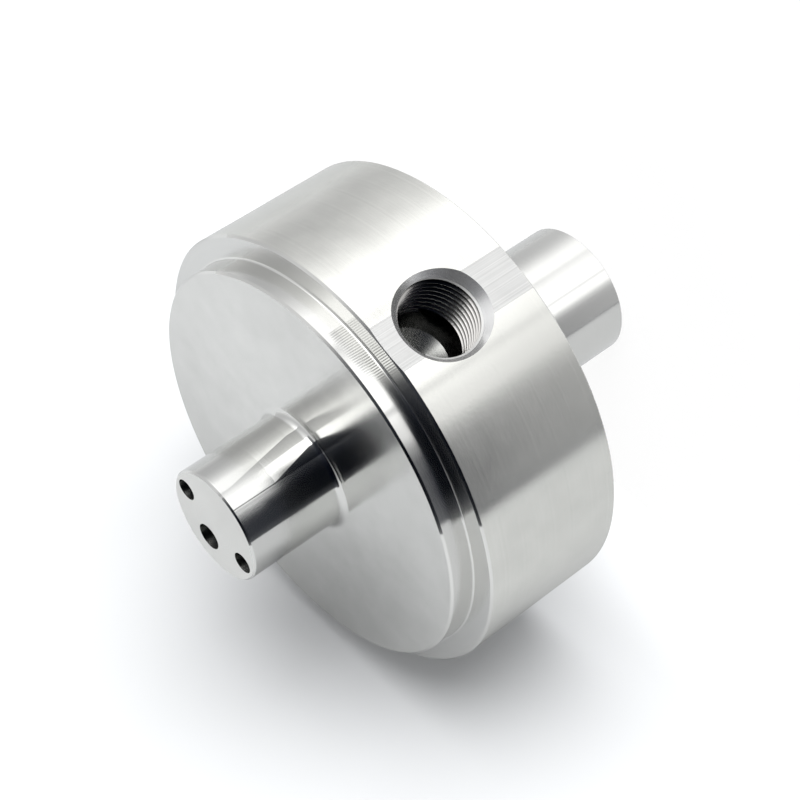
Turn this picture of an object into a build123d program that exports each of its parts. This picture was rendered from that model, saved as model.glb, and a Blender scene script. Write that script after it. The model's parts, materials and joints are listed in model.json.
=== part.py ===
from build123d import *
import os
from math import radians, tan

# Non-return valve body, one piece turned and bored from stainless steel bar.
# Lengths are in millimetres. The turning axis is +Z. The origin is the centre of the
# rear stub's end face, on which the body stands, and the port looks towards -Y.

# Lengths of the turned steps, from the rear end up
rear_stub_length = 34.4
drum_length = 30.3
spigot_length = 5.0
front_stub_length = 20.5

# Turned outsides
drum_diameter = 90.0
shoulder_width = 4.65
front_stub_diameter = 22.9
rear_stub_diameter = 27.0

# Broken outside edges and rounded inside corners of the turned outline
drum_edge_break = 0.4
spigot_edge_break = 0.4
front_end_break = 0.35
rear_end_break = 0.2
shoulder_fillet = 0.4
stub_root_fillet = 1.5

# Flat milled along the drum, on the port's side
flat_width = 9.4

# Threaded port, drilled into the drum's side at right angles to the axis
port_from_drum_front = 13.0
port_bore_diameter = 14.5
port_wall_depth = 20.7
countersink_width = 1.67
countersink_angle = 82.0
thread_lead_width = 0.37
thread_lead_angle = 120.0
drill_point_angle = 118.0

# Flow passages inside
rear_bore_diameter = 16.5
rear_bore_past_port = 0.2
cross_drilling_diameter = 8.0

# Holes in the front stub's end
passage_diameter = 5.4
passage_inside_bore_wall = 0.15
blind_hole_diameter = 4.3
blind_hole_depth = 15.0
metal_outside_blind_hole = 0.95

# How far a cutting tool's outline stands clear of the metal
tool_clearance = 1.0

# Heights of the steps above the rear end
drum_rear = rear_stub_length
drum_front = drum_rear + drum_length
spigot_front = drum_front + spigot_length
overall_length = spigot_front + front_stub_length

# Radii, and places that follow from the sizes above
drum_radius = drum_diameter / 2
spigot_radius = drum_radius - shoulder_width
front_stub_radius = front_stub_diameter / 2
rear_stub_radius = rear_stub_diameter / 2
flat_from_axis = (drum_radius**2 - (flat_width / 2) ** 2) ** 0.5
port_height = drum_front - port_from_drum_front
port_bore_radius = port_bore_diameter / 2
lead_radius = port_bore_radius + thread_lead_width
mouth_radius = lead_radius + countersink_width
rear_bore_radius = rear_bore_diameter / 2
rear_bore_end = port_height + mouth_radius + rear_bore_past_port
passage_radius = passage_diameter / 2
passage_offset = rear_bore_radius - passage_radius - passage_inside_bore_wall
blind_hole_radius = blind_hole_diameter / 2
blind_hole_offset = front_stub_radius - metal_outside_blind_hole - blind_hole_radius


def cone_depth(width, included_angle):
    """Depth over which a cone of this included angle narrows by width on the radius."""
    return width / tan(radians(included_angle / 2))


# The turned outline: radius and height of each corner, how it is finished and its size
turned_corners = [
    (rear_stub_radius, 0, chamfer, rear_end_break),
    (rear_stub_radius, drum_rear, fillet, stub_root_fillet),
    (drum_radius, drum_rear, chamfer, drum_edge_break),
    (drum_radius, drum_front, chamfer, drum_edge_break),
    (spigot_radius, drum_front, fillet, shoulder_fillet),
    (spigot_radius, spigot_front, chamfer, spigot_edge_break),
    (front_stub_radius, spigot_front, fillet, stub_root_fillet),
    (front_stub_radius, overall_length, chamfer, front_end_break),
]

# The port's cutting outline: radius from its own axis and depth below the drum's outline
countersink_depth = cone_depth(countersink_width, countersink_angle)
lead_depth = countersink_depth + cone_depth(thread_lead_width, thread_lead_angle)
port_tip_depth = port_wall_depth + cone_depth(port_bore_radius, drill_point_angle)
mouth_growth = tool_clearance * tan(radians(countersink_angle / 2))
port_profile = [
    (0, -tool_clearance),
    (mouth_radius + mouth_growth, -tool_clearance),
    (lead_radius, countersink_depth),
    (port_bore_radius, lead_depth),
    (port_bore_radius, port_wall_depth),
    (0, port_tip_depth),
]

with BuildPart() as valve_body:
    # Turn the outside in one piece: rear stub, drum, spigot and front stub
    with BuildSketch(Plane.XZ) as half_section:
        with BuildLine():
            Polyline(
                (0, 0),
                *[(radius, height) for radius, height, _, _ in turned_corners],
                (0, overall_length),
                close=True,
            )
        make_face()
        for radius, height, finish_corner, size in turned_corners:
            corner = half_section.vertices().sort_by_distance((radius, height))[0]
            finish_corner(corner, size)
    revolve(axis=Axis.Z)

    # Mill the narrow flat along the whole drum
    with BuildSketch(Plane.XY.offset(drum_rear)):
        with Locations((0, -flat_from_axis)):
            Rectangle(2 * flat_width, drum_radius, align=(Align.CENTER, Align.MAX))
    extrude(amount=drum_length, mode=Mode.SUBTRACT)

    # Drill, countersink and lead in the threaded port
    with BuildSketch(Plane.YZ):
        with BuildLine():
            Polyline(
                *[(depth - drum_radius, port_height + radius) for radius, depth in port_profile],
                close=True,
            )
        make_face()
    revolve(axis=Axis((0, 0, port_height), (0, -1, 0)), mode=Mode.SUBTRACT)

    # Bore the body from its rear end, flat-bottomed
    with BuildSketch(Plane.XY):
        Circle(rear_bore_radius)
    extrude(amount=rear_bore_end, mode=Mode.SUBTRACT)

    # Join the port's bottom to the bore
    with BuildSketch(Plane.XZ):
        with Locations((0, port_height)):
            Circle(cross_drilling_diameter / 2)
    extrude(amount=drum_radius - port_wall_depth, mode=Mode.SUBTRACT)

    # Drill the passage from the front stub's end down into the bore
    with BuildSketch(Plane.XY.offset(overall_length)):
        with Locations((0, passage_offset)):
            Circle(passage_radius)
    extrude(amount=rear_bore_end - overall_length, mode=Mode.SUBTRACT)

    # Drill the two blind holes beside it, each ending in a drill point
    with Locations(Plane.XY.offset(overall_length)):
        with GridLocations(2 * blind_hole_offset, 0, 2, 1):
            Hole(blind_hole_radius, depth=blind_hole_depth)
    with Locations(Plane.XY.offset(overall_length - blind_hole_depth)):
        with GridLocations(2 * blind_hole_offset, 0, 2, 1):
            Cone(
                bottom_radius=0,
                top_radius=blind_hole_radius,
                height=cone_depth(blind_hole_radius, drill_point_angle),
                align=(Align.CENTER, Align.CENTER, Align.MAX),
                mode=Mode.SUBTRACT,
            )

os.makedirs("parts", exist_ok=True)
valve_body.part.label = "valve_body"
export_step(valve_body.part, "parts/valve_body.step")
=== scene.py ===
# %% [markdown]
# # A turned stainless steel valve body
#
# The object is one piece of stainless steel bar. A lathe turned it, a milling cutter put a
# narrow flat along it, and drills and a tap made its holes. This lesson makes its looks in
# the same order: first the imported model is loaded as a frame, then the blank is turned,
# then each cutting tool is made and taken away from it, and each tool leaves its own finish.

# %% Load the frame
import json
from math import atan2, cos, pi, radians, sin, tan

import bmesh
import bpy
import numpy as np
from mathutils import Matrix, Quaternion, Vector

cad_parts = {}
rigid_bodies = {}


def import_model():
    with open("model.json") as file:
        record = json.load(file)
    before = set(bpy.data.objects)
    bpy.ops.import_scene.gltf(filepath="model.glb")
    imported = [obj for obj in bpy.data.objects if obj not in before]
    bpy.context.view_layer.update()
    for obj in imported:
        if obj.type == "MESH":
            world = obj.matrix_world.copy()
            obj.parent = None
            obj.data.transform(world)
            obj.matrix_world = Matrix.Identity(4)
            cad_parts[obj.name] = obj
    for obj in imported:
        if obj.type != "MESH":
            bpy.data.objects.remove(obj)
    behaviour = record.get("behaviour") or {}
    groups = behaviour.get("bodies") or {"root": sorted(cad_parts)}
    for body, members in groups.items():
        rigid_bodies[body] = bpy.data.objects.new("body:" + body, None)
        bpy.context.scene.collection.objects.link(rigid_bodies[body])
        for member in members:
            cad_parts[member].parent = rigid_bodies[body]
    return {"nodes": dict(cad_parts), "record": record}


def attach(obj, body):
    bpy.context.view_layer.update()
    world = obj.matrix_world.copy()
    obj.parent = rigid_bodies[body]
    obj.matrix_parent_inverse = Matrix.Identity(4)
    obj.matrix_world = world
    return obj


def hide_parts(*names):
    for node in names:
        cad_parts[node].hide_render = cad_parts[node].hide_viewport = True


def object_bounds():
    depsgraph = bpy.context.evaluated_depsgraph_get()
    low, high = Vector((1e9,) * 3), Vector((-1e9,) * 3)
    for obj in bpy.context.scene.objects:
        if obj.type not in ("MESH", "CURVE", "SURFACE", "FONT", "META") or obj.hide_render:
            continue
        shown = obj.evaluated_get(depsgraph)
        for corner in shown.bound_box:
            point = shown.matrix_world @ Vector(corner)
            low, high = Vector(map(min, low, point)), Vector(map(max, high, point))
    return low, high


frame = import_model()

scene = bpy.context.scene
cad_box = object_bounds()
mounts = {mount["name"]: mount for mount in frame["record"]["mounts"]}
print("pieces in the frame:", sorted(frame["nodes"]))
print("box in metres:", [tuple(round(v, 5) for v in corner) for corner in cad_box])

# %% [markdown]
# The camera stands where the photographer's did. The body lay on its side there, and here
# it stands on its rear stub, so the camera is rolled to see it from the same side. Working
# from angles round a target is easier to read and to correct than a matrix of nine numbers.

# %% Camera
MM = 0.001
MICRON = 0.001 * MM
camera_target = Vector((-1.309, -9.549, 50.298)) * MM
camera_distance = 367.7 * MM
camera_heading = radians(78.907)
camera_dip = radians(26.357)
camera_roll = radians(-123.416)
lens_mm = 90.49
sensor_mm = 36.0


def add_object(name, data):
    """A new object in the scene, at the origin."""
    made = bpy.data.objects.new(name, data)
    scene.collection.objects.link(made)
    return made


camera_data = bpy.data.cameras.new("photo_camera")
camera_data.lens = lens_mm
camera_data.sensor_width = sensor_mm
camera_data.clip_start = 0.01
camera_data.clip_end = 20.0
camera = add_object("photo_camera", camera_data)
level = cos(camera_dip)
looking = Vector((level * cos(camera_heading), level * sin(camera_heading), -sin(camera_dip)))
upright = looking.to_track_quat("-Z", "Y")
camera.rotation_mode = "QUATERNION"
camera.rotation_quaternion = upright @ Quaternion((0, 0, 1), camera_roll)
camera.location = camera_target - looking * camera_distance
scene.camera = camera
print("camera at", [round(v, 4) for v in camera.location])

# %% [markdown]
# Sizes come from the frame wherever it states them, so that the looks can't drift away
# from the construction. The few that it doesn't state are named here in millimetres.

# %% Sizes
def mount_radius(name):
    """Radius of a round interface, in metres."""
    return mounts[name]["dims"]["r_mm"] * MM


overall_length = cad_box[1].z
drum_radius = cad_box[1].x
flat_from_axis = -cad_box[0].y
front_stub_radius = mount_radius("front_stub")
spigot_radius = mount_radius("spigot")
rear_stub_radius = mount_radius("rear_stub")
rear_bore_radius = mount_radius("rear_bore")
port_bore_radius = mount_radius("port")
passage_radius = mount_radius("front_passage")
blind_hole_radius = mounts["front_blind_holes"]["dims"]["hole_r_mm"] * MM
blind_hole_offset = mounts["front_blind_holes"]["dims"]["spacing_x_mm"] * MM / 2
passage_offset = mounts["front_passage"]["pos_m"][1]
port_height = mounts["port"]["pos_m"][2]
shoulder_height = mounts["shoulder"]["pos_m"][2]
rear_bore_end = mounts["rear_bore"]["dims"]["length_mm"] * MM
drum_rear = 34.4 * MM
spigot_front = shoulder_height + 5.0 * MM
drum_edge_break = 0.4 * MM
spigot_edge_break = 0.4 * MM
front_end_break = 0.35 * MM
rear_end_break = 0.2 * MM
shoulder_fillet = 0.4 * MM
stub_root_fillet = 1.5 * MM
print("drum", round(2 * drum_radius / MM, 2), "mm across,", round(overall_length / MM, 2), "mm long overall")

# %% [markdown]
# Both of Blender's tree editors, for geometry and for materials, are used here from code.
# Small helpers keep that short: they add a node with its inputs, start a Geometry Nodes
# tree with named inputs, and end it. A tree ends by making its instances real and by
# setting the material, because the export drops instances.

# %% Nodes from code
def fill_inputs(tree, node, inputs):
    """Gives a node's inputs sockets or plain values."""
    for key, value in dict(inputs).items():
        if isinstance(value, bpy.types.NodeSocket):
            tree.links.new(value, node.inputs[key])
        else:
            node.inputs[key].default_value = value


def add_node(tree, kind, inputs=(), **settings):
    """Adds a node, sets its properties and fills its inputs."""
    node = tree.nodes.new(kind)
    for key, value in settings.items():
        setattr(node, key, value)
    fill_inputs(tree, node, inputs)
    return node


def new_tree(name, inputs, output):
    """A Geometry Nodes tree with named inputs and one output, and the sockets that bring them in."""
    tree = bpy.data.node_groups.new(name, "GeometryNodeTree")
    for label, kind in inputs.items():
        tree.interface.new_socket(label, in_out="INPUT", socket_type="NodeSocket" + kind)
    tree.interface.new_socket(output, in_out="OUTPUT", socket_type="NodeSocketGeometry")
    return tree, add_node(tree, "NodeGroupInput").outputs


def end_tree(tree, geometry, finish):
    """Makes the geometry real, gives it its finish and hands it over."""
    real = add_node(tree, "GeometryNodeRealizeInstances", {"Geometry": geometry})
    painted = add_node(tree, "GeometryNodeSetMaterial", {
        "Geometry": real.outputs["Geometry"], "Material": finish,
    })
    add_node(tree, "NodeGroupOutput", {0: painted.outputs["Geometry"]})
    print(tree.name, "tree:", len(tree.nodes), "nodes")


# %% [markdown]
# A turned shape follows one rule: an outline is carried round an axis. Spin in edit mode
# could do it once, but a small Geometry Nodes tree does it for the blank and for every
# drill. The outline is a row of corners, each with its own rounding, so the tree turns it
# into a curve, rounds the corners, and sweeps it round a tiny circle on the axis. Points
# that land on the axis are merged, which closes the poles.

# %% A lathe made of nodes
LATHE_STEPS = 256
ROUNDING_STEPS = 8
MERGE_DISTANCE = 0.5 * MICRON
AXIS_CIRCLE = 1.0 * MM


def lathe_tree():
    tree, given = new_tree("lathe", {
        "Outline": "Geometry", "Steps Round": "Int", "Steps In A Rounding": "Int", "Finish": "Material",
    }, "Turned")
    outline = add_node(tree, "GeometryNodeMeshToCurve", {"Mesh": given["Outline"]})
    rounding = add_node(tree, "GeometryNodeInputNamedAttribute", {"Name": "rounding"}, data_type="FLOAT")
    rounded = add_node(tree, "GeometryNodeFilletCurve", {
        "Curve": outline.outputs["Curve"],
        "Count": given["Steps In A Rounding"],
        "Radius": rounding.outputs["Attribute"],
        "Limit Radius": True,
    }, mode="POLY")
    axis_circle = add_node(tree, "GeometryNodeCurvePrimitiveCircle", {
        "Resolution": given["Steps Round"],
        "Radius": AXIS_CIRCLE,
    })
    swept = add_node(tree, "GeometryNodeCurveToMesh", {
        "Curve": axis_circle.outputs["Curve"],
        "Profile Curve": rounded.outputs["Curve"],
    })
    merged = add_node(tree, "GeometryNodeMergeByDistance", {
        "Geometry": swept.outputs["Mesh"],
        "Distance": MERGE_DISTANCE,
    })
    end_tree(tree, merged.outputs["Geometry"], given["Finish"])
    return tree


LATHE = lathe_tree()

# %% [markdown]
# A tree with a modifier stays live, and the export wants plain meshes. So each piece is
# evaluated once, copied to a new mesh and freed of its modifier. The inputs are set by
# their identifiers, because two inputs may share a name. The volume inside a closed mesh
# tells which way its faces look: it is negative where they look inwards.

# %% From nodes to a plain mesh
def set_inputs(modifier, values):
    """Gives a Geometry Nodes modifier its inputs, each found by name and set by identifier."""
    for socket in modifier.node_group.interface.items_tree:
        if socket.item_type == "SOCKET" and socket.in_out == "INPUT" and socket.name in values:
            modifier[socket.identifier] = values[socket.name]


def made_plain(piece, name):
    """A new object that holds what the piece's modifiers make, with its place in its mesh."""
    graph = bpy.context.evaluated_depsgraph_get()
    mesh = bpy.data.meshes.new_from_object(piece.evaluated_get(graph), depsgraph=graph)
    mesh.transform(piece.matrix_world)
    mesh.name = name
    bpy.data.objects.remove(piece)
    return add_object(name, mesh)


def signed_volume(mesh):
    """Volume inside a closed mesh: negative where its faces point inwards."""
    mesh.calc_loop_triangles()
    points = np.empty(len(mesh.vertices) * 3)
    mesh.vertices.foreach_get("co", points)
    corners = np.empty(len(mesh.loop_triangles) * 3, dtype=np.int32)
    mesh.loop_triangles.foreach_get("vertices", corners)
    a, b, c = (points.reshape(-1, 3)[corners.reshape(-1, 3)[:, i]] for i in range(3))
    return float(np.einsum("ij,ij->i", a, np.cross(b, c)).sum() / 6)


def describe(piece):
    """Prints how many faces a piece has and its volume."""
    cubic_mm = signed_volume(piece.data) / MM**3
    print(piece.name, "has", len(piece.data.polygons), "faces and", round(cubic_mm, 1), "mm3")


print("lathe inputs:", [item.name for item in LATHE.interface.items_tree if item.in_out == "INPUT"])

# %% [markdown]
# Every finish gets its material now, still plain, because the cuts will hand each tool's
# material on to the faces that it leaves. Painting faces by hand afterwards would have to be
# done again after each change of a size.

# %% A material for each finish
steel_names = (
    "turned_drum", "polished_spigot", "faced_shoulder", "faced_front", "polished_stub",
    "faced_end", "rear_steel", "milled_flat", "countersunk_rim", "tapped_thread",
    "thread_crest", "drilled_wall", "drill_point",
)
steels = {name: bpy.data.materials.new(name) for name in steel_names}
print("finishes:", len(steels))

# %% [markdown]
# The blank is the whole outside with the rear bore, in one outline from the bore's bottom
# round to the front. Broken edges are two corners each, and the inside corners carry their
# rounding, as the turning tool's nose leaves it.

# %% The turned blank
def turned(name, corners, finish, placed=Matrix.Identity(4), steps=LATHE_STEPS):
    """Turns an outline of (radius, height, rounding) corners, given from the lower end of the axis up."""
    mesh = bpy.data.meshes.new(name)
    points = [(radius - AXIS_CIRCLE, -height, 0) for radius, height, *_ in corners]
    mesh.from_pydata(points, [(i, i + 1) for i in range(len(points) - 1)], [])
    roundings = mesh.attributes.new("rounding", "FLOAT", "POINT")
    roundings.data.foreach_set("value", [corner[2] if len(corner) > 2 else 0.0 for corner in corners])
    piece = add_object(name, mesh)
    lathe = piece.modifiers.new("lathe", "NODES")
    lathe.node_group = LATHE
    set_inputs(lathe, {"Steps Round": steps, "Steps In A Rounding": ROUNDING_STEPS, "Finish": finish})
    plain = made_plain(piece, name)
    plain.data.transform(placed)
    if signed_volume(plain.data) < 0:
        plain.data.flip_normals()
    return plain


blank_outline = [
    (0, rear_bore_end),
    (rear_bore_radius, rear_bore_end),
    (rear_bore_radius, 0),
    (rear_stub_radius - rear_end_break, 0),
    (rear_stub_radius, rear_end_break),
    (rear_stub_radius, drum_rear, stub_root_fillet),
    (drum_radius - drum_edge_break, drum_rear),
    (drum_radius, drum_rear + drum_edge_break),
    (drum_radius, shoulder_height - drum_edge_break),
    (drum_radius - drum_edge_break, shoulder_height),
    (spigot_radius, shoulder_height, shoulder_fillet),
    (spigot_radius, spigot_front - spigot_edge_break),
    (spigot_radius - spigot_edge_break, spigot_front),
    (front_stub_radius, spigot_front, stub_root_fillet),
    (front_stub_radius, overall_length - front_end_break),
    (front_stub_radius - front_end_break, overall_length),
    (0, overall_length),
]
body = turned("valve_body_steel", blank_outline, steels["turned_drum"])
describe(body)

# %% [markdown]
# Every tool is a closed shape a little longer than its cut, so that no two faces lie in one
# plane where the cut ends in the open. The port's tool is one outline: countersink, lead
# cone, drilled wall and drill point, placed to look along the port's axis. The cross drill
# is turned a little about its own axis, so that its corners don't meet the port tool's.

# %% Drills and cutters
CLEAR = 1.0 * MM
PORT_STEPS = 192
DRILL_STEPS = 96
CROSS_DRILL_TURN = radians(1)
port_wall_depth = 20.7 * MM
countersink_width = 1.67 * MM
thread_lead_width = 0.37 * MM
countersink_half_angle = radians(41)
thread_lead_half_angle = radians(60)
drill_half_angle = radians(59)
cross_drilling_radius = 4.0 * MM
blind_hole_depth = 15.0 * MM

lead_radius = port_bore_radius + thread_lead_width
mouth_radius = lead_radius + countersink_width
countersink_depth = countersink_width / tan(countersink_half_angle)
lead_depth = countersink_depth + thread_lead_width / tan(thread_lead_half_angle)
out_of_port = Matrix.Translation((0, -drum_radius, port_height)) @ Matrix.Rotation(pi / 2, 4, "X")


def drill(name, radius, bottom, top, placed, pointed=True):
    """A drill along its own axis, from its point or flat end at bottom up to top."""
    tip = bottom - radius / tan(drill_half_angle) if pointed else bottom
    outline = [(0, tip), (radius, bottom), (radius, top), (0, top)]
    return turned(name, outline, steels["drilled_wall"], placed, DRILL_STEPS)


port_outline = [
    (0, -port_wall_depth - port_bore_radius / tan(drill_half_angle)),
    (port_bore_radius, -port_wall_depth),
    (port_bore_radius, -lead_depth),
    (lead_radius, -countersink_depth),
    (mouth_radius + CLEAR * tan(countersink_half_angle), CLEAR),
    (0, CLEAR),
]
port_tool = turned("port_tool", port_outline, steels["drilled_wall"], out_of_port, PORT_STEPS)
passage_tool = drill("passage_tool", passage_radius, rear_bore_end - CLEAR, overall_length + CLEAR,
                     Matrix.Translation((0, passage_offset, 0)), pointed=False)
blind_tools = [
    drill("blind_tool", blind_hole_radius, overall_length - blind_hole_depth, overall_length + CLEAR,
          Matrix.Translation((side * blind_hole_offset, 0, 0)))
    for side in (-1, 1)
]
cross_tool = drill("cross_tool", cross_drilling_radius, -drum_radius, -port_wall_depth,
                   out_of_port @ Matrix.Rotation(CROSS_DRILL_TURN, 4, "Z"), pointed=False)
for tool in (port_tool, passage_tool, *blind_tools, cross_tool):
    describe(tool)

# %% [markdown]
# The flat's cutter only needs its lower face in the right place. It is a box that reaches
# past both ends of the drum and stands outside the spigot.

# %% The milling cutter's box
cutter_half_width = 9.4 * MM
cutter_reach = 15.0 * MM
cutter_corners = [
    (x, y, z)
    for z in (drum_rear - CLEAR, shoulder_height + CLEAR)
    for y in (-flat_from_axis - cutter_reach, -flat_from_axis)
    for x in (-cutter_half_width, cutter_half_width)
]
cutter_faces = [(0, 2, 3, 1), (4, 5, 7, 6), (0, 1, 5, 4), (2, 6, 7, 3), (0, 4, 6, 2), (1, 3, 7, 5)]
cutter_mesh = bpy.data.meshes.new("flat_tool")
cutter_mesh.from_pydata(cutter_corners, [], cutter_faces)
cutter_mesh.materials.append(steels["milled_flat"])
flat_tool = add_object("flat_tool", cutter_mesh)
describe(flat_tool)

# %% [markdown]
# The port has a taper pipe thread of 18 turns to the inch. A thread could be faked with a
# bump, but here the light catches each crest, so it is cut as a real helix. The tool is a
# coil: a spiral path whose radius shrinks slowly, swept with the groove's own section, which
# is a trapezoid with flanks at 30 degrees. Its foot stays inside the drilled hole and is
# narrower than the pitch, so the turns never touch and the cut stays clean. The spiral is
# reversed, because the thread is right-handed.

# %% A tap made of nodes
def tap_tree():
    tree, given = new_tree("tap", {
        "Start": "Geometry", "Steps In A Turn": "Int", "Turns": "Float", "Length": "Float",
        "Inner End Radius": "Float", "Mouth Radius": "Float", "Groove Height": "Float",
        "Groove Foot": "Float", "Groove Bottom": "Float", "Finish": "Material",
    }, "Coil")
    spiral = add_node(tree, "GeometryNodeCurveSpiral", {
        "Resolution": given["Steps In A Turn"],
        "Rotations": given["Turns"],
        "Start Radius": given["Inner End Radius"],
        "End Radius": given["Mouth Radius"],
        "Height": given["Length"],
        "Reverse": True,
    })
    path = add_node(tree, "GeometryNodeSetCurveNormal", {"Curve": spiral.outputs["Curve"]}, mode="Z_UP")
    section = add_node(tree, "GeometryNodeCurvePrimitiveQuadrilateral", {
        "Height": given["Groove Height"],
        "Bottom Width": given["Groove Foot"],
        "Top Width": given["Groove Bottom"],
        "Offset": 0.0,
    }, mode="TRAPEZOID")
    pointing_out = add_node(tree, "GeometryNodeTransform", {
        "Geometry": section.outputs["Curve"],
        "Rotation": (0, 0, -pi / 2),
    })
    coil = add_node(tree, "GeometryNodeCurveToMesh", {
        "Curve": path.outputs["Curve"],
        "Profile Curve": pointing_out.outputs["Geometry"],
        "Fill Caps": True,
    })
    end_tree(tree, coil.outputs["Mesh"], given["Finish"])
    return tree


TAP = tap_tree()

# %% [markdown]
# The thread's sizes come from the pipe thread's own proportions. Two values place its first
# groove: how deep it starts below the drum's outline, and at which side of the port. The
# coil is turned so that its end at the mouth lies there, and then set into the port.

# %% The tap
pitch = 25.4 / 18 * MM
thread_depth_in_port = 13.9 * MM
first_groove_depth = 2.0 * MM
first_groove_angle = radians(111)
groove_bottom_at_mouth = 8.36 * MM
groove_bottom_at_end = 8.05 * MM
groove_bottom_width = 0.04 * MM
groove_height = 1.165 * MM
flank_angle = radians(30)
STEPS_IN_A_TURN = 96

tap_length = thread_depth_in_port - first_groove_depth
tap_piece = add_object("tap_tool", bpy.data.meshes.new("tap_tool"))
tap_modifier = tap_piece.modifiers.new("tap", "NODES")
tap_modifier.node_group = TAP
set_inputs(tap_modifier, {
    "Steps In A Turn": STEPS_IN_A_TURN,
    "Turns": tap_length / pitch,
    "Length": tap_length,
    "Inner End Radius": groove_bottom_at_end - groove_height / 2,
    "Mouth Radius": groove_bottom_at_mouth - groove_height / 2,
    "Groove Height": groove_height,
    "Groove Foot": groove_bottom_width + 2 * groove_height * tan(flank_angle),
    "Groove Bottom": groove_bottom_width,
    "Finish": steels["tapped_thread"],
})
tap_tool = made_plain(tap_piece, "tap_tool")
top_of_coil = max(v.co.z for v in tap_tool.data.vertices)
mouth_end = sum((v.co for v in tap_tool.data.vertices if v.co.z > top_of_coil - pitch / 16), Vector())
turn_to_start = first_groove_angle - atan2(mouth_end.y, mouth_end.x)
tap_tool.data.transform(Matrix.Rotation(turn_to_start, 4, "Z"))
tap_tool.data.transform(Matrix.Translation((0, 0, -thread_depth_in_port)))
tap_tool.data.transform(out_of_port)
if signed_volume(tap_tool.data) < 0:
    tap_tool.data.flip_normals()
describe(tap_tool)

# %% [markdown]
# Now the tools are taken away from the blank with exact booleans. Material Mode is set to
# Transfer, so the faces that a tool leaves behind carry that tool's finish.

# %% Cutting
tools = (flat_tool, port_tool, cross_tool, passage_tool, *blind_tools, tap_tool)
for tool in tools:
    cut = body.modifiers.new(tool.name, "BOOLEAN")
    cut.operation = "DIFFERENCE"
    cut.solver = "EXACT"
    cut.material_mode = "TRANSFER"
    cut.object = tool
body = made_plain(body, "valve_body_steel")
for tool in tools:
    bpy.data.objects.remove(tool)
describe(body)

# %% [markdown]
# A boolean can leave a vertex a fraction of a micron off its plane, and slivers where two
# round tools meet. Vertices closer than half a micron are merged, and none is left outside
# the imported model's box.

# %% Clean the cut mesh
def cleaned(mesh):
    """Merges what the cuts left double, dissolves faces without area and counts the open edges."""
    work = bmesh.new()
    work.from_mesh(mesh)
    bmesh.ops.remove_doubles(work, verts=work.verts, dist=MERGE_DISTANCE)
    bmesh.ops.dissolve_degenerate(work, edges=work.edges, dist=MERGE_DISTANCE)
    open_edges = sum(1 for edge in work.edges if not edge.is_manifold)
    work.to_mesh(mesh)
    work.free()
    return open_edges


open_edges = cleaned(body.data)
places = np.empty(len(body.data.vertices) * 3)
body.data.vertices.foreach_get("co", places)
places = np.clip(places.reshape(-1, 3), np.array(cad_box[0]), np.array(cad_box[1]))
body.data.vertices.foreach_set("co", places.ravel())
body.data.update()
print("open edges after cleaning:", open_edges, "faces:", len(body.data.polygons))

# %% [markdown]
# Each face now gets the finish of its place on the body. What is left of the blank is told
# apart by radius, height and direction, because one tool after another went over it.

# %% Finishes of the blank
NEAR = 0.02 * MM
END_FACE = 0.9
FLAT_RING = 0.999


def turned_finish(radius, height, axial):
    """Finish of a face of the blank, from its radius and height and the axial share of its normal."""
    if height > overall_length - NEAR and axial > END_FACE:
        return "faced_end"
    if height > spigot_front + NEAR:
        return "polished_stub"
    if height > spigot_front - NEAR and axial > END_FACE:
        return "faced_front"
    if height > shoulder_height - NEAR and axial > FLAT_RING:
        return "faced_shoulder"
    if height > shoulder_height - drum_edge_break + NEAR:
        return "polished_spigot"
    if radius < rear_bore_radius + NEAR:
        return "drilled_wall"
    if height < drum_rear + NEAR and axial < -END_FACE and radius > rear_stub_radius + NEAR:
        return "faced_front"
    if height < drum_rear - NEAR:
        return "rear_steel"
    return "turned_drum"


print("the drum's side gets", turned_finish(drum_radius, (drum_rear + shoulder_height) / 2, 0.0))

# %% [markdown]
# The faces of the cuts are told apart by the tool that left them, and those of the port by
# their depth and slope as well.

# %% Finishes by place
DRILL_POINT_SLOPE = 0.3
slot_of = {name: index for index, name in enumerate(steels)}


def depth_in_port(point):
    """How far a point lies below the drum's outline, along the port."""
    return point.y + drum_radius


cut_by = [material.name for material in body.data.materials]
finishes = []
for face in body.data.polygons:
    made_by = cut_by[face.material_index]
    if made_by == "turned_drum":
        finishes.append(turned_finish(face.center.xy.length, face.center.z, face.normal.z))
    elif made_by == "drilled_wall" and depth_in_port(face.center) < countersink_depth:
        finishes.append("countersunk_rim")
    elif made_by == "drilled_wall" and depth_in_port(face.center) < thread_depth_in_port:
        finishes.append("thread_crest")
    elif made_by == "drilled_wall" and face.normal.y < -DRILL_POINT_SLOPE:
        finishes.append("drill_point")
    else:
        finishes.append(made_by)
body.data.materials.clear()
for material in steels.values():
    body.data.materials.append(material)
body.data.polygons.foreach_set("material_index", [slot_of[name] for name in finishes])
for name in steels:
    print(name, finishes.count(name), "faces")

# %% [markdown]
# Smooth shading guesses a normal at each corner from the faces round it. Next to a hole
# that guess is wrong, and polished metal shows it as a smudge. A turned surface's true
# normal is known from its axis, so each corner can get it exactly, also in the roundings.
# Three questions have to be answered for a face: which axis it was turned or drilled about,
# which way its surface looks at a point, and whether it lies in a rounding.

# %% Axes and roundings
UP = Vector((0, 0, 1))
PORT_OUT = Vector((0, -1, 0))
PLANE_FACE = 0.9999
roundings = [
    (rear_stub_radius, drum_rear - stub_root_fillet, stub_root_fillet),
    (spigot_radius, shoulder_height + shoulder_fillet, shoulder_fillet),
    (front_stub_radius, spigot_front + stub_root_fillet, stub_root_fillet),
]
hole_axes = [Vector((0, passage_offset, 0))]
hole_axes += [Vector((side * blind_hole_offset, 0, 0)) for side in (-1, 1)]


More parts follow.
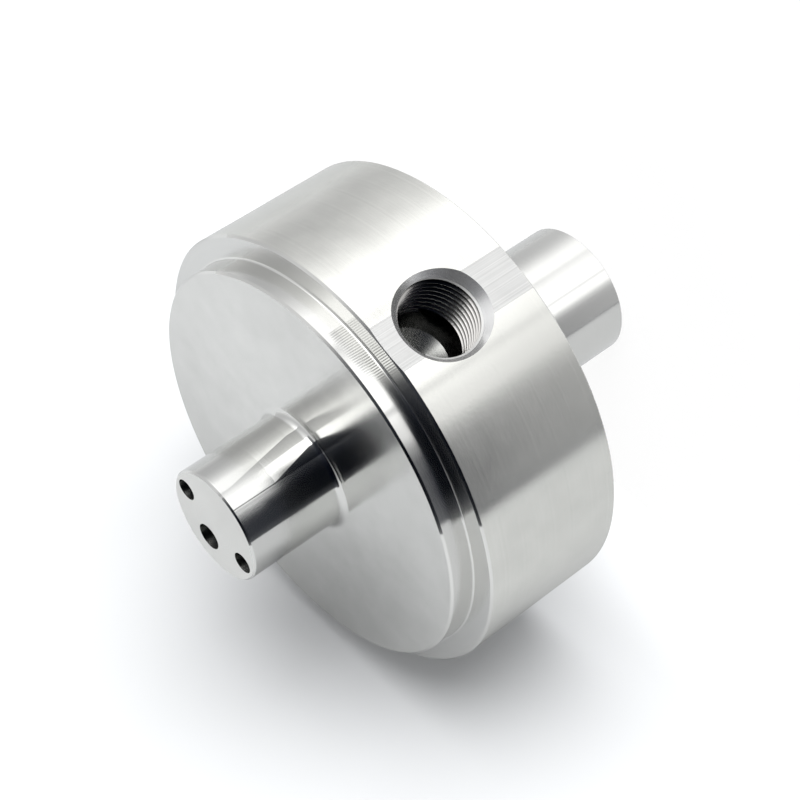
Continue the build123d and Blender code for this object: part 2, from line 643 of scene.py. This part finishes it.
def axis_of(face):
    """A point on the axis that a hole's face was drilled about, and the axis itself."""
    in_port = depth_in_port(face.center) < port_wall_depth + port_bore_radius
    if in_port or face.center.z < port_height + cross_drilling_radius + NEAR:
        return Vector((0, 0, port_height)), PORT_OUT
    return min(hole_axes, key=lambda centre: (face.center.xy - centre.xy).length), UP


def true_normal(point, face, foot, axis):
    """Normal at a point of a surface that was turned about an axis, from its face's slope."""
    from_foot = point - foot
    out = from_foot - axis * from_foot.dot(axis)
    middle = face.center - foot
    middle_out = middle - axis * middle.dot(axis)
    along = face.normal.dot(axis)
    if out.length < NEAR or abs(along) > PLANE_FACE:
        return face.normal.copy()
    across = face.normal.dot(middle_out.normalized())
    return (out.normalized() * across + axis * along).normalized()


def rounding_at(point_radius, height):
    """Centre radius and height of the rounding that a face lies in, or None."""
    for wall, centre_height, size in roundings:
        inside = wall - NEAR < point_radius < wall + size and abs(height - centre_height) < size
        toward_root = (height - centre_height) * (1 if centre_height < drum_rear else -1) > 0
        if inside and toward_root:
            return wall + size, centre_height
    return None


print("roundings:", len(roundings), "and small holes along the body:", len(hole_axes))

# %% [markdown]
# The answers are put together face by face. The thread's flanks keep Blender's own normals,
# which are good enough on such small faces, and the flat's corners take its one normal.

# %% True normals for turned and drilled surfaces
SHARP_ANGLE = radians(25)
HOLE_FINISHES = ("drilled_wall", "countersunk_rim", "thread_crest", "drill_point")

mesh = body.data
mesh.shade_smooth()
mesh.set_sharp_from_angle(angle=SHARP_ANGLE)
corner_normals = [(0.0, 0.0, 0.0)] * len(mesh.loops)
for face, made in zip(mesh.polygons, finishes):
    if made == "tapped_thread":
        continue
    if made == "milled_flat":
        for corner in face.loop_indices:
            corner_normals[corner] = tuple(face.normal)
        continue
    radius = face.center.xy.length
    from_blank = made not in HOLE_FINISHES or radius > drum_radius
    bored = made == "drilled_wall" and abs(radius - rear_bore_radius) < NEAR
    foot, axis = (Vector((0, 0, 0)), UP) if from_blank or bored else axis_of(face)
    rounded = rounding_at(radius, face.center.z) if from_blank else None
    for corner in face.loop_indices:
        point = mesh.vertices[mesh.loops[corner].vertex_index].co
        if rounded:
            flat_out = point.xy.normalized()
            toward = Vector((rounded[0] - point.xy.length, rounded[1] - point.z)).normalized()
            corner_normals[corner] = (flat_out.x * toward.x, flat_out.y * toward.x, toward.y)
        else:
            corner_normals[corner] = tuple(true_normal(point, face, foot, axis))
mesh.normals_split_custom_set(corner_normals)
print("corners with a true normal:", sum(1 for n in corner_normals if any(n)), "of", len(corner_normals))

# %% [markdown]
# The steels and the studio are put together from a few sums on sockets. Each has a short
# helper here, so that a finish reads as what it does.

# %% Sums on sockets
def maths(tree, operation, *values):
    """One Math node on sockets and numbers."""
    return add_node(tree, "ShaderNodeMath", enumerate(values), operation=operation).outputs[0]


def object_point(tree):
    """Sockets for the place on the object, and for its X, Y and Z in metres."""
    place = add_node(tree, "ShaderNodeTexCoord").outputs["Object"]
    return place, add_node(tree, "ShaderNodeSeparateXYZ", {0: place}).outputs


def radius_from(tree, a, b, centre_b=0.0):
    """Distance from an axis, from the two coordinates across it."""
    square_a = maths(tree, "POWER", a, 2.0)
    square_b = maths(tree, "POWER", maths(tree, "SUBTRACT", b, centre_b), 2.0)
    return maths(tree, "SQRT", maths(tree, "ADD", square_a, square_b))


def smooth_share(tree, value, start, end):
    """0 below start, 1 above end, and smooth between them."""
    share = add_node(tree, "ShaderNodeMapRange", {"Value": value, "From Min": start, "From Max": end},
                     interpolation_type="SMOOTHSTEP")
    return share.outputs["Result"]


def smooth_drop(tree, value, start, end):
    """1 below start, 0 above end, and smooth between them."""
    return maths(tree, "SUBTRACT", 1.0, smooth_share(tree, value, start, end))


def mixed_colour(tree, share, first, second):
    """Goes from the first colour to the second as share goes from 0 to 1."""
    mix = add_node(tree, "ShaderNodeMix", {"Factor": share, 6: first, 7: second}, data_type="RGBA")
    return mix.outputs[2]


def noise_across(tree, position, spacing):
    """Noise that varies with one length only."""
    noise = add_node(tree, "ShaderNodeTexNoise", {
        "W": maths(tree, "DIVIDE", position, spacing), "Scale": 1.0, "Detail": 4.0, "Roughness": 0.7,
    }, noise_dimensions="1D")
    return noise.outputs["Fac"]


def noise_all_ways(tree, point, spacing, detail):
    """Noise that varies in every direction."""
    noise = add_node(tree, "ShaderNodeTexNoise", {"Vector": point, "Scale": 1 / spacing, "Detail": detail})
    return noise.outputs["Fac"]


print("helpers for sums on sockets are ready")

# %% [markdown]
# Every finish is the same steel under a different tool, so one function makes them all. Fine
# marks are a noise that varies only across the cuts: along the axis on a turned side, with
# the radius on a faced end. The marks drive the bump, and mixed with broad clouds they
# drive the roughness and a slight change of colour. Light spreads across the marks and
# stays sharp along them, which is what Anisotropic does, turned a quarter from the circles
# that Tangent gives. The Tangent node turns about the body's axis, so the port's circles
# are worked out from its own.

# %% Steel and its marks
STEEL_COLOUR = (0.708, 0.707, 0.685, 1)
# colour of the painted shade deep in the thread's grooves
GROOVE_SHADE_COLOUR = (0.035, 0.034, 0.033, 1)
BLACK = (0, 0, 0, 1)
NOISE_RANGE = (0.3, 0.7)
CLOUD_SPACING = 1 / 180
QUARTER_TURN = 0.25


def finish_steel(
    name, across, roughness, marks, spacing, spread=0.03, colour=STEEL_COLOUR, metallic=1.0,
    anisotropic=0.7, contrast=0.04, cloud=0.3, grain=0.0, grain_size=0.5 * MM,
    duller=None, groove_shade=None, relief=None, shaded=None,
):
    """Gives a steel its finish.

    across says what the marks vary with, marks is their height and spacing their distance.
    duller is (start, end, added roughness) along what the marks vary with.
    stained is a pair of radii round the port's axis: painted shade comes in between them
    and darkens the steel farther out, deep in the thread's grooves.
    relief is a function that adds further heights to the marks, from the sockets it's given, and
    shaded is one that gives the share of painted shade by which the colour goes down.
    """
    steels[name].use_nodes = True
    tree = steels[name].node_tree
    point, (x, y, z) = object_point(tree)
    position = radius_from(tree, x, y) if across == "radius" else {"height": z, "port": y, "flat": x}[across]
    fine = noise_across(tree, position, spacing)
    clouds = noise_all_ways(tree, point, CLOUD_SPACING, 6.0)
    patchy = add_node(tree, "ShaderNodeMix", {"Factor": cloud, "A": fine, "B": clouds}).outputs["Result"]

    rough = add_node(tree, "ShaderNodeMapRange", {
        "Value": patchy, "From Min": NOISE_RANGE[0], "From Max": NOISE_RANGE[1],
        "To Min": roughness - spread, "To Max": roughness + spread,
    }).outputs["Result"]
    if duller:
        start, end, added = duller
        share = smooth_share(tree, position, start, end)
        rough = maths(tree, "ADD", rough, maths(tree, "MULTIPLY", share, added))

    tint = add_node(tree, "ShaderNodeValToRGB", {"Fac": patchy})
    for stop, place, change in zip(tint.color_ramp.elements, NOISE_RANGE, (-contrast, contrast)):
        stop.position = place
        stop.color = [c * (1 + change) for c in colour[:3]] + [1]
    painted = tint.outputs["Color"]
    # painted shade deep in the thread's grooves, farther from the port's axis
    if groove_shade:
        from_port_axis = radius_from(tree, x, z, port_height)
        painted = mixed_colour(tree, smooth_share(tree, from_port_axis, *groove_shade), painted, GROOVE_SHADE_COLOUR)
    # painted shade, as between the spigot's ribs, darkens the colour
    if shaded:
        painted = mixed_colour(tree, shaded(tree, x, y, z), painted, BLACK)

    height = maths(tree, "MULTIPLY", fine, marks)
    if grain:
        speckle = maths(tree, "MULTIPLY", noise_all_ways(tree, point, grain_size, 2.0), grain)
        height = maths(tree, "ADD", height, speckle)
    if relief:
        height = maths(tree, "ADD", height, relief(tree, x, y, z))
    bump = add_node(tree, "ShaderNodeBump", {"Height": height, "Distance": 1.0, "Strength": 1.0})

    if across == "port":
        tangent = add_node(tree, "ShaderNodeCombineXYZ", {
            "X": maths(tree, "SUBTRACT", z, port_height), "Z": maths(tree, "MULTIPLY", x, -1.0),
        })
    else:
        tangent = add_node(tree, "ShaderNodeTangent", direction_type="RADIAL", axis="Z")

    fill_inputs(tree, tree.nodes["Principled BSDF"], {
        "Base Color": painted, "Metallic": metallic, "Roughness": rough, "Normal": bump.outputs["Normal"],
        "Anisotropic": anisotropic, "Anisotropic Rotation": QUARTER_TURN, "Tangent": tangent.outputs[0],
    })
    print(name, "has", len(tree.nodes), "nodes")


# %% [markdown]
# Some marks are more than noise. A tool that chattered has left fine ribs along a short arc
# of the spigot's wall. They are a wave of heights, worked out from the angle round the axis,
# because a height always gives a surface that could really be there. At this distance the
# heights alone show too little, so painted shade darkens the steel between the ribs, and a
# little over the whole arc, standing in for the light and shade that the ribs would mirror.
# The ribs fade out at both ends, towards the fillet and towards the edge above.

# %% Ribs of a chattering tool
RIB_STEP = radians(0.65)
RIB_HEIGHT = 10 * MICRON
# How much painted shade lies between the ribs, and over the whole arc
RIB_PAINTED_SHADE = 0.36
RIB_PAINTED_BASE = 0.10
RIB_ARC = (radians(-95.5), radians(-76.7))
RIB_TOP = shoulder_height + 2.6 * MM
RIB_FOOT = shoulder_height + 0.3 * MM
FADE_IN = radians(9)
FADE_OUT = radians(1)
FADE_UP = 1.4 * MM
FADE_DOWN = 0.3 * MM


def angle_round(tree, x, y):
    """Angle round the body's axis."""
    return maths(tree, "ARCTAN2", y, x)


def rib_wave(tree, x, y, z):
    """A wave round the axis and its strength, over a short arc of the spigot's wall."""
    angle = angle_round(tree, x, y)
    wave = maths(tree, "SINE", maths(tree, "MULTIPLY", angle, 2 * pi / RIB_STEP))
    start, end = RIB_ARC
    strength = 1.0
    for fade in (
        smooth_share(tree, angle, start, start + FADE_IN),
        smooth_drop(tree, angle, end - FADE_OUT, end),
        smooth_drop(tree, z, RIB_TOP, RIB_TOP + FADE_UP),
        smooth_share(tree, z, RIB_FOOT, RIB_FOOT + FADE_DOWN),
    ):
        strength = maths(tree, "MULTIPLY", strength, fade)
    return wave, strength


def chatter_ribs(tree, x, y, z):
    """Heights of the fine ribs along the axis."""
    wave, strength = rib_wave(tree, x, y, z)
    return maths(tree, "MULTIPLY", wave, maths(tree, "MULTIPLY", strength, RIB_HEIGHT))


def painted_rib_shade(tree, x, y, z):
    """Painted shade that darkens the steel between the ribs, and a little over the whole arc."""
    wave, strength = rib_wave(tree, x, y, z)
    depth = maths(tree, "MULTIPLY_ADD", wave, RIB_PAINTED_SHADE / 2, RIB_PAINTED_SHADE / 2 + RIB_PAINTED_BASE)
    return maths(tree, "MULTIPLY", depth, strength)


print("ribs in the arc:", round((RIB_ARC[1] - RIB_ARC[0]) / RIB_STEP))

# %% [markdown]
# The polishing cloth ran out on the front stub and left two wedge-shaped facets, narrow
# above and widest at the root. Each leans the surface a little to one side, so it mirrors
# another part of the studio. Real facets so shallow at the edge and so long would need many
# thin faces, so these are heights too.

# %% Polished wedges
# Each wedge: height where it starts, height where it is widest, angles of its left edge and
# of its right edge at those two heights, and how steeply it leans
WEDGES = [
    (89.5 * MM, 73.0 * MM, (-84.0, -80.0), (-81.5, -67.0), -0.30),
    (80.5 * MM, 71.3 * MM, (-99.5, -99.5), (-98.5, -88.0), 0.14),
]


def polished_wedges(tree, x, y, z):
    """Heights of the wedges on the front stub."""
    angle = angle_round(tree, x, y)
    total = 0.0
    for top, bottom, left, right, slope in WEDGES:
        reach = add_node(tree, "ShaderNodeMapRange", {"Value": z, "From Min": top, "From Max": bottom})
        down = reach.outputs["Result"]
        left_edge, right_edge = (
            maths(tree, "ADD", maths(tree, "MULTIPLY", down, radians(low - high)), radians(high))
            for high, low in (left, right)
        )
        inside = maths(tree, "MAXIMUM", maths(tree, "SUBTRACT", angle, left_edge), 0.0)
        across = maths(tree, "MINIMUM", inside, maths(tree, "SUBTRACT", right_edge, left_edge))
        total = maths(tree, "ADD", total, maths(tree, "MULTIPLY", across, slope * front_stub_radius))
    return total


print("wedges:", len(WEDGES))

# %% [markdown]
# Now each finish in turn. The drum is satin, duller towards its rear. The faces were turned
# too, duller towards the rim. The spigot and both stubs are polished. The flat, the holes
# and the thread keep the plain marks of their tools, and the steel in the holes and the
# thread is darker, as painted shade of their depth. Each line gives what the marks vary
# with, the roughness, the marks' height and their spacing. Every roughness stays on one side
# of 0.27 over its whole piece, because the denoiser treats sharper and duller steel in two
# ways, and a finish that crosses that value shows rings and specks.

# %% The finishes
DRUM_COLOUR = (0.765, 0.764, 0.725, 1)
POLISHED_COLOUR = (0.673, 0.674, 0.655, 1)
SHOULDER_COLOUR = (0.642, 0.643, 0.628, 1)
MILLED_COLOUR = (0.50, 0.50, 0.492, 1)
CUT_COLOUR = (0.74, 0.74, 0.735, 1)
CREST_COLOUR = (0.45, 0.45, 0.44, 1)
# The thread's steel is darker than the outside's: painted shade of the deep port.
TAPPED_SHADED_COLOUR = (0.41, 0.40, 0.385, 1)
# The holes' walls are much darker steel: painted shade of their depth.
DRILLED_SHADED_COLOUR = (0.20, 0.20, 0.20, 1)
DRILL_POINT_COLOUR = (0.60, 0.605, 0.58, 1)

finish_steel("turned_drum", "height", 0.19, 0.15 * MICRON, 0.5 * MM, spread=0.015, colour=DRUM_COLOUR,
             anisotropic=0.95, contrast=0.06, cloud=0.6, grain=4.0 * MICRON, grain_size=0.7 * MM,
             duller=(shoulder_height, drum_rear, 0.055))
finish_steel("faced_front", "radius", 0.13, 0.05 * MICRON, 0.8 * MM, spread=0.01, colour=POLISHED_COLOUR,
             anisotropic=0.8, contrast=0.05, cloud=0.85, duller=(13 * MM, 40 * MM, 0.125))
# The spigot's ribs carry painted shade as well as heights.
finish_steel("polished_spigot", "height", 0.12, 0.2 * MICRON, 0.2 * MM, anisotropic=1.0,
             relief=chatter_ribs, shaded=painted_rib_shade)
finish_steel("faced_shoulder", "radius", 0.13, 0.1 * MICRON, 0.3 * MM, spread=0.02, colour=SHOULDER_COLOUR,
             anisotropic=1.0)
finish_steel("polished_stub", "height", 0.11, 0.4 * MICRON, 0.2 * MM, colour=POLISHED_COLOUR,
             anisotropic=1.0, relief=polished_wedges)
finish_steel("faced_end", "radius", 0.40, 0.5 * MICRON, 0.3 * MM, anisotropic=0.3)
finish_steel("rear_steel", "height", 0.16, 0.6 * MICRON, 0.2 * MM, anisotropic=0.9)
finish_steel("milled_flat", "flat", 0.34, 2.0 * MICRON, 0.35 * MM, colour=MILLED_COLOUR, metallic=0.92,
             contrast=0.2, cloud=0.15)
finish_steel("countersunk_rim", "port", 0.20, 1.0 * MICRON, 0.3 * MM, colour=CUT_COLOUR, metallic=0.85,
             anisotropic=0.0)
# The thread's grooves get painted shade towards their bottoms.
finish_steel("tapped_thread", "port", 0.12, 0.4 * MICRON, 0.1 * MM, colour=TAPPED_SHADED_COLOUR,
             grain=25 * MICRON, grain_size=0.3 * MM, groove_shade=(7.30 * MM, 7.75 * MM))
finish_steel("thread_crest", "port", 0.40, 0.4 * MICRON, 0.1 * MM, colour=CREST_COLOUR, metallic=0.8,
             anisotropic=0.0)
# The holes' walls: dark steel as painted shade inside them.
finish_steel("drilled_wall", "port", 0.12, 1.0 * MICRON, 0.2 * MM, colour=DRILLED_SHADED_COLOUR)
finish_steel("drill_point", "port", 0.22, 1.0 * MICRON, 0.2 * MM, colour=DRILL_POINT_COLOUR, anisotropic=0.9)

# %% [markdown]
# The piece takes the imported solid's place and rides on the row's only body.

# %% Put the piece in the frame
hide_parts("valve_body")
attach(body, "root")

# %% [markdown]
# The stage has two pale sheets of one kind of paper: matt, clear from behind, so that a
# sheet hides nothing from its other side, and with a glow of its own for the camera. The
# glow makes the background white without more light on the steel. What the steel mirrors of
# the backdrop has a glow of its own too, because a shaded sheet would look black in it.

# %% Pale paper
def empty_material(name):
    """A material whose node tree is empty."""
    material = bpy.data.materials.new(name)
    material.use_nodes = True
    material.node_tree.nodes.clear()
    return material


def pale(tree, colour, lit, glow, mirrored):
    """Makes a sheet's surface.

    lit is how much it answers to light and shade, glow what it adds for the camera, and
    mirrored what it adds in the steel. Each is a number or a socket.
    """
    path = add_node(tree, "ShaderNodeLightPath").outputs
    answer = add_node(tree, "ShaderNodeCombineColor", {
        channel: maths(tree, "MULTIPLY", lit, share)
        for channel, share in zip(("Red", "Green", "Blue"), colour)
    })
    matt = add_node(tree, "ShaderNodeBsdfDiffuse", {"Color": answer.outputs["Color"]})
    for_camera = maths(tree, "MULTIPLY", path["Is Camera Ray"], glow)
    strength = maths(tree, "MULTIPLY_ADD", path["Is Glossy Ray"], mirrored, for_camera)
    glowing = add_node(tree, "ShaderNodeEmission", {"Color": (*colour, 1), "Strength": strength})
    both = add_node(tree, "ShaderNodeAddShader", {0: matt.outputs[0], 1: glowing.outputs[0]})
    one_sided = add_node(tree, "ShaderNodeMixShader", {
        "Fac": add_node(tree, "ShaderNodeNewGeometry").outputs["Backfacing"],
        1: both.outputs[0],
        2: add_node(tree, "ShaderNodeBsdfTransparent").outputs[0],
    })
    add_node(tree, "ShaderNodeOutputMaterial", {"Surface": one_sided.outputs[0]})


def sheet(name, corners, material):
    """A flat sheet with one face."""
    mesh = bpy.data.meshes.new(name)
    mesh.from_pydata(corners, [], [range(len(corners))])
    mesh.materials.append(material)
    return add_object(name, mesh)


floor_reach = 4.0
FLOOR_GAP = 0.1 * MM
FLOOR_LIT = 0.15
FLOOR_GLOW = 0.9
floor_paper = empty_material("floor_paper")
pale(floor_paper.node_tree, (1.0, 1.0, 1.0), FLOOR_LIT, FLOOR_GLOW, 0.0)
print("floor paper:", len(floor_paper.node_tree.nodes), "nodes")

# %% [markdown]
# In the photograph the drum lies on its side, so the surface under it is upright here: the
# backdrop. For the camera, its paper goes over into the floor's near the floor, as if one
# sheet were bent there, so no line shows between them. In the steel it answers less to light
# beside the drum than above it, and glows more.

# %% The backdrop's paper
BACKDROP_COLOUR = (0.97, 0.985, 1.0)
BACKDROP_LIT = 0.365
BACKDROP_GLOW = 0.13
PAPER_BEND = (0.0, 0.030)
ABOVE_DRUM = (0.066, 0.105)
LESS_IN_STEEL = 0.115
LOW_IN_STEEL = 0.12
HIGH_IN_STEEL = 0.03


def backdrop_shares(tree):
    """The backdrop's answer to light, its glow for the camera and its glow in the steel."""
    path = add_node(tree, "ShaderNodeLightPath").outputs
    up = object_point(tree)[1][2]
    above_bend = smooth_share(tree, up, *PAPER_BEND)
    own = maths(tree, "MAXIMUM", above_bend, maths(tree, "SUBTRACT", 1.0, path["Is Camera Ray"]))
    beside_drum = smooth_drop(tree, up, *ABOVE_DRUM)
    less = maths(tree, "MULTIPLY", maths(tree, "MULTIPLY", beside_drum, path["Is Glossy Ray"]), LESS_IN_STEEL)
    lit = maths(tree, "MULTIPLY_ADD", own, BACKDROP_LIT - FLOOR_LIT, FLOOR_LIT)
    glow = maths(tree, "MULTIPLY_ADD", own, BACKDROP_GLOW - FLOOR_GLOW, FLOOR_GLOW)
    mirrored = maths(tree, "MULTIPLY_ADD", beside_drum, LOW_IN_STEEL - HIGH_IN_STEEL, HIGH_IN_STEEL)
    return maths(tree, "SUBTRACT", lit, less), glow, mirrored


backdrop_paper = empty_material("backdrop_paper")
pale(backdrop_paper.node_tree, BACKDROP_COLOUR, *backdrop_shares(backdrop_paper.node_tree))
print("backdrop paper:", len(backdrop_paper.node_tree.nodes), "nodes")

# %% [markdown]
# The backdrop all but touches the drum, on the side away from the port, and carries its
# shadow. The body really stands on its rear stub, on the floor. That shows to the camera
# only: it casts no shadow, throws no light back and isn't mirrored in the steel.

# %% Backdrop and floor
lying_up = Vector((0.3885, -0.9214, 0.0))
lying_across = Vector((0.9214, 0.3885, 0.0))
backdrop_from_axis = drum_radius + 0.3 * MM
backdrop_start = -0.40
backdrop_below = 0.5
backdrop_reach = 1.6
backdrop_top = 0.195

foot = -lying_up * backdrop_from_axis
backdrop_corners = [
    foot + lying_across * across + UP * up
    for across, up in (
        (backdrop_start, -backdrop_below), (backdrop_start, backdrop_top),
        (backdrop_reach, backdrop_top), (backdrop_reach, -backdrop_below),
    )
]
backdrop = sheet("backdrop", backdrop_corners, backdrop_paper)
if backdrop.data.polygons[0].normal.dot(lying_up) < 0:
    backdrop.data.flip_normals()
floor_corners = [
    (x * floor_reach, y * floor_reach, -FLOOR_GAP)
    for x, y in ((-1, -1), (1, -1), (1, 1), (-1, 1))
]
floor = sheet("floor", floor_corners, floor_paper)
floor.visible_glossy = False
floor.visible_diffuse = False
floor.visible_shadow = False
print("backdrop normal", [round(v, 3) for v in backdrop.data.polygons[0].normal])

# %% [markdown]
# Polished steel shows the studio more than itself. So the light is planned round the
# turning axis, by the angle from straight above the lying body: a dark side where the
# camera stands, a wide white softbox, a gap, and a dimmer wall. Lamps and cards could do it,
# but a list of (degrees, strength) pairs is easier to read and to correct. There are five
# lists, from the light behind the rear end to the light in front of the front end.

# %% Light round the axis
behind_light = [
    (-150, 0.8), (-98, 1.1), (-60, 1.15), (-30, 1.2), (20, 1.4), (45, 1.2), (65, 1.1), (85, 1.1),
    (120, 1.1),
]
rear_side_light = [
    (-105, 0.3), (-98, 0.15), (-84, 0.1), (-72, 0.11), (-63, 0.28), (-56, 1.0), (-50, 2.3), (-37, 2.3),
    (-36, 1.3), (-34, 1.3), (-33, 2.3), (-10, 1.7), (3, 1.2), (7, 1.0), (12, 1.5), (30, 1.5),
    (40, 1.1), (51, 0.66), (62, 0.48), (72, 0.44), (83, 0.48), (95, 0.75), (110, 1.05), (150, 1.0),
    (-150, 0.6),
]
level_light = [
    (-105, 0.3), (-98, 0.12), (-84, 0.045), (-66, 0.045), (-57, 0.05), (-50, 0.11), (-44, 0.38), (-38, 0.9),
    (-36, 0.8), (-34, 0.85), (-32, 1.3), (-24, 1.9), (-10, 1.65), (3, 1.1), (7, 0.95), (12, 1.5),
    (30, 1.5), (40, 1.05), (51, 0.8), (62, 0.66), (76, 0.62), (90, 0.8), (102, 1.0), (114, 1.2),
    (150, 1.0), (-150, 0.6),
]
front_side_light = [
    (-105, 0.4), (-96, 0.08), (-85, 0.004), (-56, 0.004), (-46, 0.01), (-38, 0.03), (-31, 0.07), (-25, 0.2),
    (-18, 0.9), (-11, 2.6), (-3, 2.9), (7, 2.6), (17, 2.4), (30, 2.2), (37, 1.6), (47, 1.1),
    (67, 0.74), (78, 0.68), (90, 0.72), (108, 1.02), (130, 1.18), (160, 1.02), (-150, 0.6),
]
front_end_light = [
    (-150, 0.6), (-128, 0.5), (-118, 0.01), (-95, 0.004), (-66, 0.004), (-38, 0.03), (-8, 0.08), (14, 0.18),
    (28, 0.5), (40, 0.9), (67, 0.75), (90, 0.75), (110, 1.0), (150, 0.9),
]
lists = (behind_light, rear_side_light, level_light, front_side_light, front_end_light)
print("stops in the lists of light:", [len(stops) for stops in lists])

# %% [markdown]
# Each list becomes a colour ramp, whose dark stops are tinted blue, as the darkest steel in
# the photograph is. The world goes from one ramp to the next between two heights above the
# horizon. The camera itself sees white there.

# %% The studio's world
LIGHT_PEAK = 3.0
BLUE_BELOW = 0.012
BLUE_SHARES = (-0.5, -0.15, 0.95)
lying_up_heading = -67.15
# The heights in degrees between which each list takes over from the one before it
TAKES_OVER = [
    (-39.0, -28.0, rear_side_light),
    (-28.0, -24.5, level_light),
    (-20.0, -8.0, front_side_light),
    (27.0, 46.0, front_end_light),
]

world = bpy.data.worlds.new("studio")
scene.world = world
world.use_nodes = True
studio = world.node_tree
studio.nodes.clear()
turn = add_node(studio, "ShaderNodeVectorRotate", {
    "Vector": add_node(studio, "ShaderNodeTexCoord").outputs["Generated"],
    "Angle": radians(-lying_up_heading),
}, rotation_type="Z_AXIS")
parts = add_node(studio, "ShaderNodeSeparateXYZ", {0: turn.outputs["Vector"]}).outputs
angle = maths(studio, "ARCTAN2", parts["Y"], parts["X"])
place_round = maths(studio, "ADD", maths(studio, "DIVIDE", angle, 2 * pi), 0.5)
height = maths(studio, "ARCSINE", parts["Z"])


def light_ramp(stops):
    """A ramp of light strengths round the axis, from (degrees, strength) pairs."""
    ramp = add_node(studio, "ShaderNodeValToRGB", {"Fac": place_round})
    elements = ramp.color_ramp.elements
    for degrees_round, strength in sorted(stops):
        element = elements.new(degrees_round / 360 + 0.5)
        blueness = 1 / (1 + strength / BLUE_BELOW)
        element.color = [strength / LIGHT_PEAK * (1 + share * blueness) for share in BLUE_SHARES] + [1]
    elements.remove(elements[0])
    elements.remove(elements[-1])
    return ramp.outputs["Color"]


light = light_ramp(behind_light)
for low, high, stops in TAKES_OVER:
    share = smooth_share(studio, height, radians(low), radians(high))
    light = mixed_colour(studio, share, light, light_ramp(stops))
studio_light = add_node(studio, "ShaderNodeBackground", {"Color": light, "Strength": LIGHT_PEAK})
plain_white = add_node(studio, "ShaderNodeBackground", {"Color": (1, 1, 1, 1)})
seen = add_node(studio, "ShaderNodeMixShader", {
    "Fac": add_node(studio, "ShaderNodeLightPath").outputs["Is Camera Ray"],
    1: studio_light.outputs[0],
    2: plain_white.outputs[0],
})
add_node(studio, "ShaderNodeOutputWorld", {"Surface": seen.outputs[0]})
print("studio:", len(studio.nodes), "nodes")

# %% [markdown]
# One wide lamp stands straight above the lying body and throws the soft shadow on the
# backdrop. It doesn't show in the steel, where the world does all the work.

# %% The lamp
overhead = bpy.data.lights.new("overhead_lamp", "SUN")
overhead.energy = 4.9
overhead.angle = radians(52)
overhead_lamp = add_object("overhead_lamp", overhead)
overhead_lamp.rotation_mode = "QUATERNION"
overhead_lamp.rotation_quaternion = lying_up.to_track_quat("Z", "Y")
overhead_lamp.visible_glossy = False
scene.view_settings.view_transform = "Standard"
print("lamp strength", overhead.energy, "and width", round(overhead.angle, 3), "radians")
